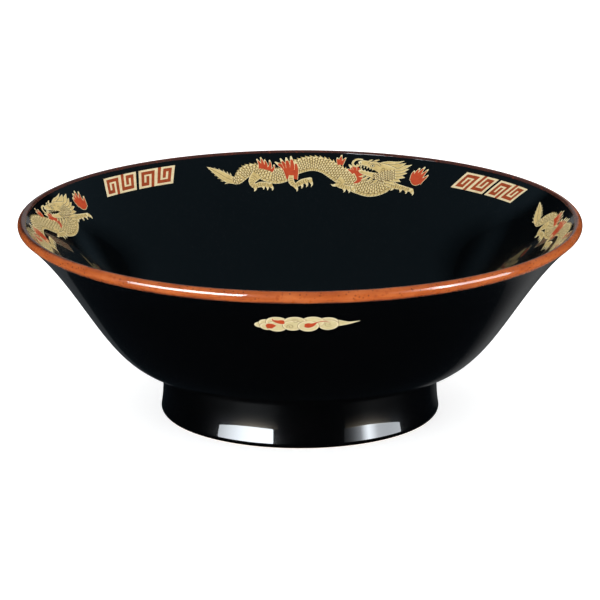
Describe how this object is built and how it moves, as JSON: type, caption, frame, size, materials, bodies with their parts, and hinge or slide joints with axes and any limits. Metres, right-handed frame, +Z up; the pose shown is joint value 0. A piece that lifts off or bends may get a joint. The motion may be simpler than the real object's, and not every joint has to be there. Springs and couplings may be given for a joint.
{
  "type": "footed noodle bowl",
  "caption": "Wide round bowl on a high foot ring, black glazed inside and out, with an orange lip band and fired-on dragon, fret and cloud prints.",
  "frame": {"origin": "centre of the foot on the table", "axes": "+Z up along the bowl's axis; +Y towards the wall that carries dragon_1, -Y towards cloud_1"},
  "size_m": [0.21, 0.21, 0.0743],
  "materials": {
    "clay": "fired stoneware clay, unglazed",
    "glaze_inner": "gloss blue-black glaze",
    "glaze_outer": "gloss black glaze",
    "band": "gloss orange-brown glaze with dark iron specks",
    "gold": "fired-on pale gold print, satin",
    "print_cream": "fired-on cream print, satin",
    "print_red": "fired-on red print, satin",
    "fret_red": "fired-on red-brown print, satin"
  },
  "bodies": {
    "root": {"bowl_body": "clay", "foot_ring": "clay", "glaze_inside": "glaze_inner", "glaze_outside": "glaze_outer", "glaze_recess": "glaze_outer", "rim_band": "band", "dragon_1_gold": "gold", "dragon_1_red": "print_red", "dragon_2_gold": "gold", "dragon_2_red": "print_red", "dragon_3_gold": "gold", "dragon_3_red": "print_red", "dragon_4_gold": "gold", "dragon_4_red": "print_red", "fret_1_cream": "print_cream", "fret_1_red": "fret_red", "fret_2_cream": "print_cream", "fret_2_red": "fret_red", "fret_3_cream": "print_cream", "fret_3_red": "fret_red", "fret_4_cream": "print_cream", "fret_4_red": "fret_red", "fret_5_cream": "print_cream", "fret_5_red": "fret_red", "fret_6_cream": "print_cream", "fret_6_red": "fret_red", "fret_7_cream": "print_cream", "fret_7_red": "fret_red", "fret_8_cream": "print_cream", "fret_8_red": "fret_red", "cloud_1_cream": "print_cream", "cloud_1_red": "print_red", "cloud_2_cream": "print_cream", "cloud_2_red": "print_red", "cloud_3_cream": "print_cream", "cloud_3_red": "print_red", "cloud_4_cream": "print_cream", "cloud_4_red": "print_red"}
  },
  "joints": []
}
